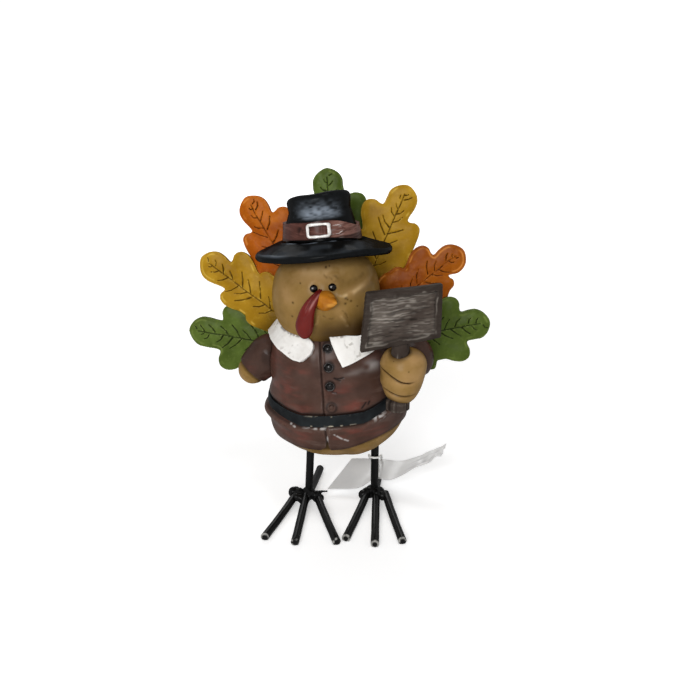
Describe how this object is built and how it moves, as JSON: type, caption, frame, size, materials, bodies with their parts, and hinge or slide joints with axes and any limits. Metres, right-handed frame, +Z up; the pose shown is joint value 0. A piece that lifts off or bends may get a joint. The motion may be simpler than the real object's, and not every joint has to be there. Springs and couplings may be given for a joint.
{
  "type": "turkey figure",
  "caption": "Painted turkey figure in a pilgrim hat and belted jacket, gripping a bare sign board, with a tail fan of lobed leaves, on wire legs with spread toes.",
  "frame": {"origin": "on the ground, under the centre of the figure's box", "axes": "+Z up, -Y is the way the face looks, +X is the figure's left, where it holds the sign"},
  "size_m": [0.1236, 0.0753, 0.1337],
  "materials": {
    "tan_resin": "hand-painted cast resin under clear lacquer",
    "brown_resin": "hand-painted cast resin under clear lacquer",
    "black_resin": "hand-painted cast resin under clear lacquer",
    "white_resin": "hand-painted cast resin under clear lacquer",
    "silver_paint": "silver paint on cast resin",
    "orange_resin": "hand-painted cast resin under clear lacquer",
    "red_resin": "hand-painted cast resin under clear lacquer",
    "wood_resin": "cast resin with a dry-brushed wood grain",
    "green_resin": "hand-painted cast resin under clear lacquer",
    "gold_resin": "hand-painted cast resin under clear lacquer",
    "black_wire": "black painted steel wire, worn at the toe ends",
    "film": "pale blank film",
    "nylon": "white moulded nylon"
  },
  "bodies": {
    "figure": {"head": "tan_resin", "body": "tan_resin", "jacket": "brown_resin", "belt": "black_resin", "collar_right": "white_resin", "collar_left": "white_resin", "button_1": "silver_paint", "button_2": "silver_paint", "button_3": "silver_paint", "button_4": "silver_paint", "hat": "black_resin", "hat_band": "brown_resin", "hat_buckle": "silver_paint", "eye_right": "black_resin", "eye_left": "black_resin", "beak": "orange_resin", "snood": "red_resin", "sleeve_right": "brown_resin", "hand_right": "tan_resin", "sleeve_left": "brown_resin", "hand_left": "tan_resin", "sign_board": "wood_resin", "sign_post": "wood_resin", "leaf_green_left": "green_resin", "leaf_yellow_right": "gold_resin", "leaf_orange_left": "orange_resin", "leaf_orange_right": "orange_resin", "leaf_green_right": "green_resin", "leaf_yellow_left": "gold_resin", "leaf_green_top": "green_resin", "leg_right": "black_wire", "leg_left": "black_wire", "weld_right": "black_wire", "weld_left": "black_wire", "toe_right_outer": "black_wire", "toe_right_middle": "black_wire", "toe_right_inner": "black_wire", "toe_right_rear": "black_wire", "toe_left_outer": "black_wire", "toe_left_middle": "black_wire", "toe_left_inner": "black_wire", "toe_left_rear": "black_wire"},
    "hang_tag": {"tag": "film", "tag_loop": "nylon"}
  },
  "joints": [
    {"name": "tag_swivel", "type": "hinge", "parent": "figure", "child": "hang_tag", "pos_m": [0.0182, 0.0044, 0.0204], "axis": [0, 0, 1], "range_deg": [-15, 15]}
  ]
}
